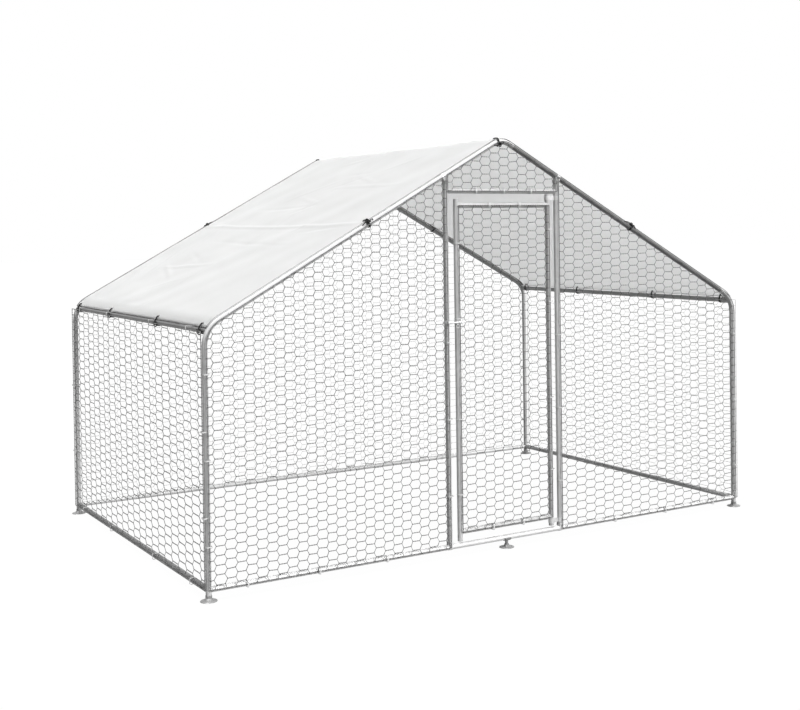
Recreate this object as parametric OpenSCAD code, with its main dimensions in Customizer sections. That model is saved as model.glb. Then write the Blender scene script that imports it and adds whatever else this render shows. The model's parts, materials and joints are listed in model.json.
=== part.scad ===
// Walk-in poultry run: a galvanised tube frame with a gable front, hexagonal wire
// netting on all four sides, a sheet cover tied over the roof and a hinged door
// with a sliding bolt in the middle of the front.
// X runs along the front, Y from front to back and Z up. The origin lies on the
// ground in the middle of the run.

/* [Run] */
// Width over the outsides of the corner posts
run_w = 3000; // [2000:10:4000]
// Depth over the outsides of the corner posts
run_d = 2000; // [1600:10:4000]
// Height of the base rails' centre line above the ground
base_h = 48; // [44:1:80]
// Height at which the centre lines of post and rafter would cross
eave_h = 1130; // [900:10:1400]
// Height at which the centre lines of the two rafters would cross
ridge_h = 1952; // [1800:10:2400]

/* [Tubes] */
// Outside diameter of every frame and door tube
tube_d = 25; // [19:0.5:26]
// Wall of every frame and door tube
tube_wall = 1.2; // [0.8:0.1:1.6]
// Centre-line radius of the bend over each corner post
eave_bend_r = 125; // [90:1:180]
// Centre-line radius of the bend at the ridge
ridge_bend_r = 90; // [70:1:140]
// Straight length of a fitting between its bend and the next tube
fitting_leg = 25; // [15:1:40]
// Length of the reduced end that slides into the next tube
spigot_l = 45; // [35:1:60]

/* [Feet] */
// Diameter of a foot's disc
foot_d = 72; // [62:1:90]
// Height of the shoulder on which the corner fitting stands
foot_shoulder_h = 24; // [20:1:28]

/* [Door] */
// Distance from the middle of the run to each door post's centre line
door_post_x = 317; // [280:1:400]
// Distance between the latch post's and the latch stile's centre lines
latch_gap = 57; // [50:1:70]
// Distance between the hinge post's and the hinge stile's centre lines
hinge_gap = 52; // [44:1:70]
// Height of the transom's centre line
transom_h = 1703; // [1680:1:1710]
// Height of the door's top rail
door_top_h = 1636; // [1560:1:1640]
// Height of the door's bottom rail
door_bottom_h = 112; // [110:1:140]
// Height of the sliding bolt
latch_h = 1093; // [800:1:1300]

/* [Netting] */
// Width of one wire of the netting
net_wire = 3; // [2:0.1:4]
// Width of the selvedge round each panel
net_border = 4; // [3:0.1:6]
// Thickness of a panel
net_t = 2.4; // [1.5:0.1:3]
// Gap between the tubes and the netting, which straps and bolt heads share
net_gap = 6; // [6:0.1:9]
// Rows of meshes on a side panel
side_rows = 9; // [6:1:9]
// Column pitch that each panel's own pitch comes closest to
net_col_pitch = 165; // [160:1:240]

/* [Cover] */
// Thickness of the sheet
cover_t = 1; // [0.6:0.1:2]
// How far the sheet stands past the centre line of the gable rafters
cover_past_rafter = 4; // [0:0.5:6]
// How far the sheet stops short of the eave rail's crest, along the slope
cover_short = 9; // [8:0.5:14]

/* [Ties] */
// Width of a cable tie's strap
tie_w = 4.8; // [3.6:0.1:6]
// Thickness of a cable tie's strap
tie_t = 1.2; // [1:0.1:1.6]
// Length of a cover tie's loose tail
tie_tail = 22; // [20:1:60]

/* [Hidden] */
$fn = 48;

// Overrun of every cut
over = 1;
// Radial play of a spigot, stem or bolt in its hole
fit_gap = 0.2;
// Gap between a tube's end and the fitting or post that it butts against
butt_gap = 0.3;
// Gap between a band, strap or tie and what it is wrapped round
wrap_gap = 0.3;
// Radial play of the door in its hinge straps and of the bolt in its guides
run_gap = 0.4;

// Frame geometry
tube_r = tube_d / 2;
half_w = run_w / 2 - tube_r;
half_d = run_d / 2 - tube_r;
slope = atan((ridge_h - eave_h) / half_w);
eave_turn = 90 - slope;
eave_tangent = eave_bend_r * tan(eave_turn / 2);
ridge_tangent = ridge_bend_r * tan(slope);
eave_centre = [-half_w + eave_bend_r, eave_h - eave_tangent];
ridge_centre_h = ridge_h - ridge_bend_r / cos(slope);
ridge_axis_h = ridge_centre_h + ridge_bend_r;
// The eave rail leaves the middle of the bend
rail_tilt = slope + eave_turn / 2;
eave_rail_x = eave_centre.x - eave_bend_r * sin(rail_tilt);
eave_rail_h = eave_centre.y + eave_bend_r * cos(rail_tilt);

// Spigots and the lengths of the tubes between them
spigot_r = tube_r - tube_wall - fit_gap;
spigot_bore_r = spigot_r - tube_wall;
bolt_in = spigot_l / 2;
// How much a tube thins where it is bent, and how far a leg laps over its bend
bend_draw = 0.25;
leg_lap = 3;
sleeve_up = 40;
post_low = base_h + sleeve_up;
post_l = eave_centre.y - fitting_leg - post_low;
rafter_start = eave_tangent + fitting_leg;
rafter_l = half_w / cos(slope) - rafter_start - ridge_tangent - fitting_leg;
butt = tube_r + butt_gap;
side_rail_l = 2 * (half_d - butt);
front_rail_l = 2 * (half_w - butt);

// Bolts
bolt_r = 2.5;
bolt_hole_r = bolt_r + fit_gap;
bolt_head_r = 4.6;
bolt_head_h = 2.8;
bolt_seat = 0.1;
nut_r = 4.6;
nut_h = 3.6;
bolt_end = 1;

// Feet
foot_rim_h = 3;
foot_dish_h = 6;
foot_hub_r = 14;
foot_neck_h = 14;
foot_stem_in = 18;
foot_stem_r = spigot_bore_r - fit_gap;
cradle_t = 3;
cradle_w = 34;
threshold_stem_r = 8;

// Straps that hold the door posts
strap_t = 1.5;
strap_w = 18;
strap_bolt_drop = 24;
saddle_bolt_rise = 18;
strap_end = 9;

// Hinge straps and the door's stiles
hinge_band_t = 1.8;
hinge_web_t = 5;
hinge_band_w = 20;
hinge_stile_x = door_post_x - hinge_gap;
latch_stile_x = -door_post_x + latch_gap;
stile_foot_gap = 7;
stile_top_gap = 2;
stile_rise = 30;
hinge_rise = 12;
stile_low = base_h + tube_r + stile_foot_gap;
hinge_stile_top = transom_h - tube_r - stile_top_gap;
latch_stile_top = door_top_h + stile_rise;
upper_hinge_low = door_top_h + tube_r + hinge_rise;
lower_hinge_top = door_bottom_h - tube_r - wrap_gap;

// Netting and its ties
net_off = tube_r + net_gap;
net_edge_off = 4;
net_row_pitch = (eave_rail_h - base_h) / side_rows;
net_twist_share = 0.78;
least_hole_share = 0.05;
least_edge = 0.05;
outline_steps = 6;
tie_in = wrap_gap;
tie_corner_r = 5;
tie_head = [6, 4, 6.5];
rail_reach = eave_rail_x + half_w + net_off;

// Cover, eyelets and the cover's ties
cover_gap = tube_r + wrap_gap + strap_t + wrap_gap;
cover_half_d = half_d + cover_past_rafter;
cover_steps = 10;
cover_short_angle = cover_short / (eave_bend_r + cover_gap) * 180 / PI;
eyelet_off = 25;
eyelet_r = 8;
eyelet_hole_r = 4.2;
eyelet_flange = 0.8;
eyelet_lift = 0.4;
eyelet_barrel = 1;
eyelet_angle = eyelet_off / (eave_bend_r + cover_gap) * 180 / PI;
cover_tie_r = tube_r + tie_in;
cover_tie_top = cover_gap + cover_t + eyelet_lift + eyelet_flange + tie_in;
tie_tail_lean = 38;
ridge_tie_angle = 14.5;
left_rafter_tie_share = 0.515;
right_rafter_tie_share = 0.475;
rail_end_tie = 62;
rail_tie_share = 0.365;

// Latch
bolt_rod_r = 4;
guide_bore_r = bolt_rod_r + run_gap;
guide_r = 6.5;
guide_half = 10;
latch_off = net_off + net_t + wrap_gap + run_gap + guide_r;
latch_band_t = 1.8;
latch_band_w = 16;
latch_neck = [2, 9];
latch_neck_h = 10;
bolt_rest_gap = 4;
bolt_tail = 18;
ring_r = 8;
ring_wire_r = 2;
ring_stem_r = 2;
ring_gap = 1.5;
ring_drop = guide_r + ring_gap + ring_wire_r + ring_r;
ring_from_barrel = 4;

galvanised = "#b9bcbf";
zinc_dark = "#7d8184";
sheet_white = "#f4f5f4";
nylon_white = "#eceeec";
nylon_black = "#1d1e20";
wire_grey = "#9a9ea1";

// Mirrors what is drawn for the front left corner to another corner
module corner(sx, sy) {
    mirror([sx > 0 ? 1 : 0, 0, 0])
        mirror([0, sy > 0 ? 1 : 0, 0])
            children();
}

// Bars, tubes and bolts
module bore(l, r) {
    translate([0, 0, -over])
        cylinder(h = l + 2 * over, r = r);
}

module cross_hole(reach) {
    rotate([90, 0, 0])
        cylinder(h = 2 * reach, r = bolt_hole_r, center = true);
}

// A tube along Z with a cross hole for the bolt at each end
module tube(l) {
    difference() {
        cylinder(h = l, r = tube_r);
        bore(l, tube_r - tube_wall);
        for (z = [bolt_in, l - bolt_in])
            translate([0, 0, z])
                cross_hole(tube_d);
    }
}

module plain_tube(l) {
    difference() {
        cylinder(h = l, r = tube_r);
        bore(l, tube_r - tube_wall);
    }
}

// A bolt along Y with a domed head in front and a nut behind
module bolt(grip_r) {
    seat = grip_r + bolt_seat;
    rotate([90, 0, 0]) {
        translate([0, 0, seat])
            rotate_extrude()
                intersection() {
                    translate([0, bolt_head_h - bolt_head_r * bolt_head_r / bolt_head_h])
                        circle(r = bolt_head_r * bolt_head_r / bolt_head_h);
                    square([bolt_head_r, bolt_head_h]);
                }
        translate([0, 0, -seat - nut_h - bolt_end])
            cylinder(h = 2 * seat + nut_h + bolt_end, r = bolt_r);
        translate([0, 0, -seat - nut_h])
            cylinder(h = nut_h, r = nut_r, $fn = 6);
    }
}

// Frames of the tubes: the tube starts at the frame's origin and runs along Z
module post_frame(sx, sy) {
    corner(sx, sy)
        translate([-half_w, -half_d, post_low])
            children();
}

module rafter_axis(sx, sy) {
    corner(sx, sy)
        translate([-half_w, -half_d, eave_h])
            rotate([0, 90 - slope, 0])
                children();
}

module rafter_frame(sx, sy) {
    rafter_axis(sx, sy)
        translate([0, 0, rafter_start])
            children();
}

module eave_rail_frame(sx) {
    corner(sx, -1)
        translate([eave_rail_x, butt - half_d, eave_rail_h])
            rotate([-90, 0, 0])
                children();
}

module side_base_frame(sx) {
    corner(sx, -1)
        translate([-half_w, butt - half_d, base_h])
            rotate([-90, 0, 0])
                children();
}

module gable_base_frame(sy) {
    corner(-1, sy)
        translate([butt - half_w, -half_d, base_h])
            rotate([0, 90, 0])
                children();
}

module ridge_frame() {
    translate([0, butt - half_d, ridge_axis_h])
        rotate([-90, 0, 0])
            rotate([0, 0, 90])
                children();
}

module post(sx, sy) {
    color(galvanised)
        post_frame(sx, sy)
            tube(post_l);
}

module rafter(sx, sy) {
    color(galvanised)
        rafter_frame(sx, sy)
            tube(rafter_l);
}

module eave_rail(sx) {
    color(galvanised)
        eave_rail_frame(sx)
            tube(side_rail_l);
}

module side_base_rail(sx) {
    color(galvanised)
        side_base_frame(sx)
            tube(side_rail_l);
}

module gable_base_rail(sy) {
    color(galvanised)
        gable_base_frame(sy)
            tube(front_rail_l);
}

module ridge_tube() {
    color(galvanised)
        ridge_frame()
            tube(side_rail_l);
}

// Bent fittings: a leg, a bend and a leg, with a spigot on each end
module arc(bend_r, turn, r) {
    rotate_extrude(angle = turn)
        translate([bend_r, 0])
            circle(r = r - bend_draw);
}

// A leg reaches back over the end of its bend
module leg(r_leg, r_spigot) {
    translate([0, 0, -leg_lap])
        cylinder(h = fitting_leg + leg_lap, r = r_leg);
    cylinder(h = fitting_leg + spigot_l, r = r_spigot);
}

module leg_bore() {
    translate([0, 0, -leg_lap])
        cylinder(h = fitting_leg + spigot_l + leg_lap + over, r = spigot_bore_r);
    translate([0, 0, fitting_leg + bolt_in])
        cross_hole(tube_d);
}

module stub(r, extra) {
    cylinder(h = butt + spigot_l + extra, r = r);
}

// Fills or bores an eave elbow: both use the same places
module eave_elbow_places() {
    translate([eave_centre.x, -half_d, eave_centre.y])
        rotate([90, 0, 0])
            rotate([0, 0, 180 - eave_turn])
                children(0);
    translate([-half_w, -half_d, eave_centre.y])
        rotate([180, 0, 0])
            children(1);
    translate([-half_w, -half_d, eave_h])
        rotate([0, 90 - slope, 0])
            translate([0, 0, eave_tangent])
                children(1);
    translate([eave_rail_x, -half_d, eave_rail_h])
        rotate([-90, 0, 0])
            children(2);
}

module eave_elbow(sx, sy) {
    color(galvanised)
        corner(sx, sy)
            difference() {
                eave_elbow_places() {
                    arc(eave_bend_r, eave_turn, tube_r);
                    leg(tube_r, spigot_r);
                    stub(spigot_r, 0);
                }
                eave_elbow_places() {
                    arc(eave_bend_r, eave_turn, spigot_bore_r);
                    leg_bore();
                    stub_bore();
                }
            }
}

module stub_bore() {
    stub(spigot_bore_r - fit_gap, over);
    translate([0, 0, butt + bolt_in])
        cross_hole(tube_d);
}

module ridge_elbow_places() {
    translate([0, -half_d, ridge_centre_h])
        rotate([90, 0, 0])
            rotate([0, 0, 90 - slope])
                children(0);
    for (side = [-1, 1])
        translate([0, -half_d, ridge_h])
            rotate([0, side * (90 + slope), 0])
                translate([0, 0, ridge_tangent])
                    children(1);
    translate([0, -half_d, ridge_axis_h])
        rotate([-90, 0, 0])
            rotate([0, 0, 90])
                children(2);
}

module ridge_elbow(sy) {
    color(galvanised)
        corner(-1, sy)
            difference() {
                ridge_elbow_places() {
                    arc(ridge_bend_r, 2 * slope, tube_r);
                    leg(tube_r, spigot_r);
                    stub(spigot_r, 0);
                }
                ridge_elbow_places() {
                    arc(ridge_bend_r, 2 * slope, spigot_bore_r);
                    leg_bore();
                    stub_bore();
                }
            }
}

// Base corner: a sleeve under the post with a spigot up and one into each base rail
module base_corner(sx, sy) {
    color(galvanised)
        corner(sx, sy)
            translate([-half_w, -half_d, 0])
                difference() {
                    union() {
                        translate([0, 0, foot_shoulder_h])
                            cylinder(h = post_low - foot_shoulder_h, r = tube_r);
                        translate([0, 0, foot_shoulder_h])
                            cylinder(h = post_low + spigot_l - foot_shoulder_h, r = spigot_r);
                        translate([0, 0, base_h]) {
                            rotate([0, 90, 0])
                                stub(spigot_r, 0);
                            rotate([-90, 0, 0])
                                stub(spigot_r, 0);
                        }
                    }
                    translate([0, 0, foot_shoulder_h - over])
                        cylinder(h = post_low + spigot_l - foot_shoulder_h + 2 * over, r = spigot_bore_r);
                    translate([0, 0, post_low + bolt_in])
                        cross_hole(tube_d);
                    translate([0, 0, base_h]) {
                        rotate([0, 90, 0])
                            stub_bore();
                        rotate([-90, 0, 0])
                            stub_bore();
                    }
                }
}

// Feet
module foot_profile(hub_r, stem_r, shoulder_h, top) {
    rim = foot_d / 2;
    polygon([
        [0, 0],
        [rim, 0],
        [rim, foot_rim_h / 2],
        [rim - foot_rim_h / 2, foot_rim_h],
        [hub_r + foot_dish_h, foot_dish_h],
        [hub_r, foot_neck_h],
        [hub_r, shoulder_h],
        [stem_r, shoulder_h],
        [stem_r, top],
        [0, top]
    ]);
}

module foot(sx, sy) {
    color(zinc_dark)
        corner(sx, sy)
            translate([-half_w, -half_d, 0])
                rotate_extrude()
                    foot_profile(foot_hub_r, foot_stem_r, foot_shoulder_h, foot_shoulder_h + foot_stem_in);
}

// The middle foot carries the front base rail in a cradle
module threshold_foot() {
    cradle_r = tube_r + wrap_gap + cradle_t;
    color(zinc_dark)
        translate([0, -half_d, 0])
            difference() {
                union() {
                    rotate_extrude()
                        foot_profile(
                            threshold_stem_r + cradle_t, threshold_stem_r, foot_neck_h + cradle_t, base_h
                        );
                    translate([0, 0, base_h])
                        rotate([0, 90, 0])
                            cylinder(h = cradle_w, r = cradle_r, center = true);
                }
                translate([0, 0, base_h])
                    rotate([0, 90, 0])
                        cylinder(h = foot_d + cradle_w, r = tube_r + wrap_gap, center = true);
                translate([-foot_d, -foot_d, base_h])
                    cube([2 * foot_d, 2 * foot_d, foot_d]);
            }
}

// Door posts, shaped to the base rail below and to the rafter above
module door_post(sx) {
    rise = (half_w - door_post_x) * tan(slope);
    saddle_r = tube_r + butt_gap;
    color(galvanised)
        corner(sx, -1)
            difference() {
                translate([-door_post_x, -half_d, base_h])
                    plain_tube(eave_h + rise - base_h);
                translate([-door_post_x, -half_d, base_h])
                    rotate([0, 90, 0])
                        cylinder(h = 2 * tube_d, r = saddle_r, center = true);
                translate([-door_post_x, -half_d, eave_h + rise])
                    rotate([0, 90 - slope, 0])
                        cylinder(h = 4 * tube_d, r = saddle_r, center = true);
                translate([-door_post_x, -half_d, base_h + saddle_bolt_rise])
                    cross_hole(tube_d);
                clamp_frame()
                    translate([0, 0, -strap_bolt_drop])
                        cross_hole(tube_d);
            }
}

module transom_rail() {
    color(galvanised)
        difference() {
            translate([-door_post_x, -half_d, transom_h])
                rotate([0, 90, 0])
                    plain_tube(2 * door_post_x);
            for (side = [-1, 1])
                translate([side * door_post_x, -half_d, transom_h])
                    cylinder(h = 2 * tube_d, r = tube_r + butt_gap, center = true);
        }
}

// Strap over a tube along X, with two legs down and a hole for the bolt through them
module strap(bolt_drop) {
    in_r = tube_r + wrap_gap;
    out_r = in_r + strap_t;
    leg_l = bolt_drop + strap_end;
    difference() {
        rotate([90, 0, 90])
            linear_extrude(height = strap_w, center = true)
                difference() {
                    union() {
                        circle(r = out_r);
                        translate([-out_r, -leg_l])
                            square([2 * out_r, leg_l]);
                    }
                    circle(r = in_r);
                    translate([-in_r, -leg_l - over])
                        square([2 * in_r, leg_l + over]);
                }
        translate([0, 0, -bolt_drop])
            cross_hole(tube_d);
    }
}

// The clamp sits square on the rafter, its bolt on the post's centre line
module clamp_frame() {
    along = (half_w - door_post_x - strap_bolt_drop * sin(slope)) / cos(slope);
    translate([-half_w, -half_d, eave_h])
        rotate([0, -slope, 0])
            translate([along, 0, 0])
                children();
}

module saddle_frame() {
    translate([-door_post_x, -half_d, base_h])
        children();
}

module rafter_clamps() {
    color(zinc_dark)
        for (sx = [-1, 1])
            corner(sx, -1)
                clamp_frame()
                    strap(strap_bolt_drop);
}

module post_saddles() {
    color(zinc_dark)
        for (sx = [-1, 1])
            corner(sx, -1)
                saddle_frame()
                    mirror([0, 0, 1])
                        strap(saddle_bolt_rise);
}

// All bolts of the frame
module tube_bolts(l) {
    for (z = [bolt_in, l - bolt_in])
        translate([0, 0, z])
            bolt(tube_r);
}

module frame_bolts() {
    color(zinc_dark) {
        for (sx = [-1, 1], sy = [-1, 1]) {
            post_frame(sx, sy)
                tube_bolts(post_l);
            rafter_frame(sx, sy)
                tube_bolts(rafter_l);
        }
        for (s = [-1, 1]) {
            eave_rail_frame(s)
                tube_bolts(side_rail_l);
            side_base_frame(s)
                tube_bolts(side_rail_l);
            gable_base_frame(s)
                tube_bolts(front_rail_l);
            corner(s, -1) {
                clamp_frame()
                    translate([0, 0, -strap_bolt_drop])
                        bolt(tube_r + wrap_gap + strap_t);
                saddle_frame()
                    translate([0, 0, saddle_bolt_rise])
                        bolt(tube_r + wrap_gap + strap_t);
            }
        }
        ridge_frame()
            tube_bolts(side_rail_l);
    }
}

// Netting: flat hexagons with long twisted sides, clipped to a convex outline

// Distance of a point to the left of the line from p to q
function left_of(p, q, point) =
    ((q.x - p.x) * (point.y - p.y) - (q.y - p.y) * (point.x - p.x)) / norm(q - p);

// The part of a polygon that lies further than inset to the left of a line
function clip_line(poly, p, q, inset) = [
    for (i = [0 : 1 : len(poly) - 1])
        let (
            a = poly[i],
            b = poly[(i + 1) % len(poly)],
            da = left_of(p, q, a) - inset,
            db = left_of(p, q, b) - inset,
            crossing = a + (b - a) * da / (da == db ? 1 : da - db)
        )
        each da >= 0
            ? (db >= 0 ? [b] : [crossing])
            : (db >= 0 ? [crossing, b] : [])
];

function clip_outline(poly, outline, inset, i = 0) =
    let (next = outline[(i + 1) % len(outline)])
    i == len(outline)
        ? poly
        : clip_outline(clip_line(poly, outline[i], next, inset), outline, inset, i + 1);

// Drops points that fall on the one before them
function distinct(poly) = [
    for (i = [0 : 1 : len(poly) - 1])
        if (norm(poly[i] - poly[(i + 1) % len(poly)]) > least_edge)
            poly[i]
];

function area(poly) =
    let (n = len(poly))
    n < 3 ? 0 : sum([for (i = [0 : n - 1]) cross(poly[i], poly[(i + 1) % n])]) / 2;

function sum(list, i = 0, total = 0) =
    i == len(list) ? total : sum(list, i + 1, total + list[i]);

// The open part of one mesh, centred on [x, z]
function mesh_hole(x, z, col, row) =
    let (
        half_twist = col * net_twist_share / 2,
        run = col * (1 - net_twist_share),
        rise = row / 2,
        back = net_wire / 2 * norm([run, rise]) / rise,
        top = rise - net_wire / 2,
        top_x = half_twist + run * net_wire / 2 / rise - back,
        side_x = half_twist + run - back
    )
    [
        [x + side_x, z],
        [x + top_x, z + top],
        [x - top_x, z + top],
        [x - side_x, z],
        [x - top_x, z - top],
        [x + top_x, z - top]
    ];

function columns(width) = max(2, round(width / net_col_pitch));

// Height of the open middle of mesh number j in column number i, above the panel's foot
function mesh_mid(i, j, row) = (j + (i % 2 == 0 ? 1 / 2 : 1)) * row;

// A panel in the XY plane: columns start on the line x = left, rows on the line y = low
module net_panel(outline, left, low, width, height, row) {
    count = columns(width);
    col = width / count;
    least = least_hole_share * col * row;
    linear_extrude(height = net_t)
        difference() {
            polygon(outline);
            for (i = [0 : count], j = [-1 : ceil(height / row)]) {
                hole = mesh_hole(left + i * col, low + mesh_mid(i, j, row), col, row);
                open = distinct(clip_outline(hole, outline, net_border));
                if (area(open) > least)
                    polygon(open);
            }
        }
}

// Points on the centre line of the left eave bend, from the rafter down to the post
function eave_arc() = [
    for (i = [0 : outline_steps])
        let (a = 180 - eave_turn + eave_turn * i / outline_steps)
        eave_centre + eave_bend_r * [cos(a), sin(a)]
];

// Points on the centre line of the ridge bend, from right to left
function ridge_arc() = [
    for (i = [0 : outline_steps])
        let (a = 90 - slope + 2 * slope * i / outline_steps)
        [0, ridge_centre_h] + ridge_bend_r * [cos(a), sin(a)]
];

function mirrored(points) = [for (p = reversed(points)) [-p.x, p.y]];

function rafter_z(x) = eave_h + (half_w - abs(x)) * tan(slope);

module front_panel() {
    translate([0, -half_d - net_off, 0])
        rotate([90, 0, 0])
            children();
}

module side_panel() {
    translate([-half_w - net_off - net_t, 0, 0])
        rotate([90, 0, 90])
            children();
}

front_net_right = -door_post_x - net_edge_off;
front_net_w = front_net_right + half_w;
gable_net_x = door_post_x - net_edge_off;
door_net_left = latch_stile_x + net_edge_off;
door_net_right = hinge_stile_x - net_edge_off;
door_net_h = door_top_h - door_bottom_h;
door_row = door_net_h / round(door_net_h / net_row_pitch);
gable_row = net_row_pitch;

module front_net(sx) {
    outline = concat(
        [[-half_w, base_h], [front_net_right, base_h], [front_net_right, rafter_z(front_net_right)]],
        eave_arc()
    );
    height = rafter_z(front_net_right) - base_h;
    color(wire_grey)
        corner(sx, -1)
            front_panel()
                net_panel(outline, -half_w, base_h, front_net_w, height, net_row_pitch);
}

module gable_net() {
    outline = concat(
        [[-gable_net_x, transom_h], [gable_net_x, transom_h], [gable_net_x, rafter_z(gable_net_x)]],
        ridge_arc(),
        [[-gable_net_x, rafter_z(gable_net_x)]]
    );
    color(wire_grey)
        front_panel()
            net_panel(outline, -gable_net_x, transom_h, 2 * gable_net_x, ridge_h - transom_h, gable_row);
}

module side_net(sx) {
    outline = [[-half_d, base_h], [half_d, base_h], [half_d, eave_rail_h], [-half_d, eave_rail_h]];
    color(wire_grey)
        corner(sx, -1)
            side_panel()
                net_panel(outline, -half_d, base_h, 2 * half_d, eave_rail_h - base_h, net_row_pitch);
}

module back_net() {
    outline = concat(
        [[-half_w, base_h], [half_w, base_h]],
        mirrored(eave_arc()),
        ridge_arc(),
        eave_arc()
    );
    color(wire_grey)
        corner(-1, 1)
            front_panel()
                net_panel(outline, -half_w, base_h, 2 * half_w, ridge_h - base_h, net_row_pitch);
}

module door_net() {
    outline = [
        [door_net_left, door_bottom_h],
        [door_net_right, door_bottom_h],
        [door_net_right, door_top_h],
        [door_net_left, door_top_h]
    ];
    width = door_net_right - door_net_left;
    color(wire_grey)
        front_panel()
            net_panel(outline, door_net_left, door_bottom_h, width, door_net_h, door_row);
}

// Round at the back and flat at the front, towards -Y, with round corners there
module net_tie_loop(half, front, corner_r) {
    circle(r = half);
    translate([-half, corner_r - front])
        square([2 * half, front - corner_r]);
    translate([corner_r - half, -front])
        square([2 * (half - corner_r), front]);
    for (s = [-1, 1])
        translate([s * (half - corner_r), corner_r - front])
            circle(r = corner_r);
}

// A tie round a tube along Z and the selvedge that lies in front of it, towards -Y
module net_tie(reach) {
    in_r = tube_r + tie_in;
    front = reach + net_t + tie_in;
    linear_extrude(height = tie_w, center = true)
        difference() {
            net_tie_loop(in_r + tie_t, front + tie_t, tie_corner_r);
            net_tie_loop(in_r, front, tie_corner_r - tie_t);
        }
    translate([-tie_head.x / 2, in_r + tie_t / 2, -tie_head.z / 2])
        cube(tie_head);
}

// Rows at which a post's ties sit, and the columns of those on the rails
post_tie_rows = [1, 4, 7];
side_post_tie_rows = [2, 5];
rail_tie_cols = [1, 3, 5];
eave_tie_cols = [1, 4, 8, 11];
back_tie_cols = [2, 6, 10, 14];
door_tie_rows = [1, 4, 8, 11];

module tie_on_post(x, z) {
    translate([x, -half_d, z])
        net_tie(net_off);
}

module tie_on_rail(x, z) {
    translate([x, -half_d, z])
        rotate([0, 90, 0])
            net_tie(net_off);
}

module front_net_ties() {
    count = columns(front_net_w);
    col = front_net_w / count;
    for (row = post_tie_rows) {
        tie_on_post(-half_w, base_h + mesh_mid(0, row, net_row_pitch));
        tie_on_post(-door_post_x, base_h + mesh_mid(count, row, net_row_pitch));
    }
    for (i = rail_tie_cols)
        tie_on_rail(-half_w + i * col, base_h);
}

module side_net_ties() {
    count = columns(2 * half_d);
    col = 2 * half_d / count;
    for (row = side_post_tie_rows, end = [0, 1])
        translate([-half_w, (2 * end - 1) * half_d, base_h + mesh_mid(end * count, row, net_row_pitch)])
            rotate([0, 0, -90])
                net_tie(net_off);
    for (i = eave_tie_cols) {
        translate([-half_w, i * col - half_d, base_h])
            rotate([0, 0, -90])
                rotate([0, 90, 0])
                    net_tie(net_off);
        translate([eave_rail_x, i * col - half_d, eave_rail_h])
            rotate([0, 0, -90])
                rotate([0, 90, 0])
                    net_tie(rail_reach);
    }
}

module back_net_ties() {
    count = columns(2 * half_w);
    col = 2 * half_w / count;
    for (row = post_tie_rows, end = [0, 1])
        tie_on_post((2 * end - 1) * half_w, base_h + mesh_mid(end * count, row, net_row_pitch));
    for (i = back_tie_cols)
        tie_on_rail(i * col - half_w, base_h);
}

module gable_net_ties() {
    count = columns(2 * gable_net_x);
    col = 2 * gable_net_x / count;
    for (i = [1 : count - 1])
        tie_on_rail(i * col - gable_net_x, transom_h);
}

module net_ties() {
    color(nylon_white) {
        for (s = [-1, 1]) {
            corner(s, -1) {
                front_net_ties();
                side_net_ties();
            }
        }
        corner(-1, 1)
            back_net_ties();
        gable_net_ties();
    }
}

module door_net_ties() {
    width = door_net_right - door_net_left;
    count = columns(width);
    color(nylon_white) {
        for (row = door_tie_rows) {
            tie_on_post(latch_stile_x, door_bottom_h + mesh_mid(0, row, door_row));
            tie_on_post(hinge_stile_x, door_bottom_h + mesh_mid(count, row, door_row));
        }
        for (i = [1 : count - 1], z = [door_bottom_h, door_top_h])
            tie_on_rail(door_net_left + i * width / count, z);
    }
}

// Roof cover: one sheet bent over the ridge and over both eaves

// Points on a bend about a centre, from one angle to another
function bend_points(centre, r, from, to) = [
    for (i = [0 : cover_steps])
        let (a = from + (to - from) * i / cover_steps)
        centre + r * [cos(a), sin(a)]
];

// The sheet's path over the tubes from the left eave to the right, at a distance from their centre lines
function cover_path(off) =
    let (
        eave = bend_points(
            eave_centre, eave_bend_r + off, 180 - eave_turn / 2 - cover_short_angle, 180 - eave_turn
        )
    )
    concat(
        eave,
        bend_points([0, ridge_centre_h], ridge_bend_r + off, 90 + slope, 90 - slope),
        mirrored(eave)
    );

function reversed(list) = [for (i = [len(list) - 1 : -1 : 0]) list[i]];

module cover_sheet() {
    rotate([90, 0, 0])
        linear_extrude(height = 2 * cover_half_d, center = true)
            polygon(concat(cover_path(cover_gap), reversed(cover_path(cover_gap + cover_t))));
}

// Frames of the cover's ties: the tube along X, the eyelet towards +Y, the sheet above
module rafter_tie_frame(sx, sy) {
    share = sx > 0 ? right_rafter_tie_share : left_rafter_tie_share;
    corner(sx, sy)
        translate([-half_w, -half_d, eave_h])
            rotate([0, -slope, 0])
                translate([half_w / cos(slope) * share, 0, 0])
                    children();
}

module ridge_tie_frame(sy) {
    corner(-1, sy)
        translate([0, -half_d, ridge_centre_h])
            rotate([0, -ridge_tie_angle, 0])
                translate([0, 0, ridge_bend_r])
                    children();
}

module rail_tie_frame(sx, y, ahead) {
    corner(sx, -1)
        translate([eave_centre.x, y, eave_centre.y])
            rotate([0, ahead - rail_tilt, 0])
                translate([0, 0, eave_bend_r])
                    rotate([0, 0, -90])
                        children();
}

rail_tie_places = [
    rail_end_tie - half_d,
    -rail_tie_share * half_d,
    rail_tie_share * half_d,
    half_d - rail_end_tie
];

// Draws its child once at every eyelet
module at_eyelets() {
    for (sy = [-1, 1]) {
        for (sx = [-1, 1])
            rafter_tie_frame(sx, sy)
                translate([0, eyelet_off, cover_gap])
                    children();
        ridge_tie_frame(sy)
            translate([0, eyelet_off, cover_gap])
                children();
    }
    for (sx = [-1, 1], y = rail_tie_places)
        rail_tie_frame(sx, y, eyelet_angle)
            translate([0, 0, cover_gap])
                children();
}

module roof_cover() {
    color(sheet_white)
        difference() {
            cover_sheet();
            at_eyelets()
                cylinder(h = 8 * cover_t, r = eyelet_hole_r + eyelet_barrel + fit_gap, center = true);
        }
}

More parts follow.
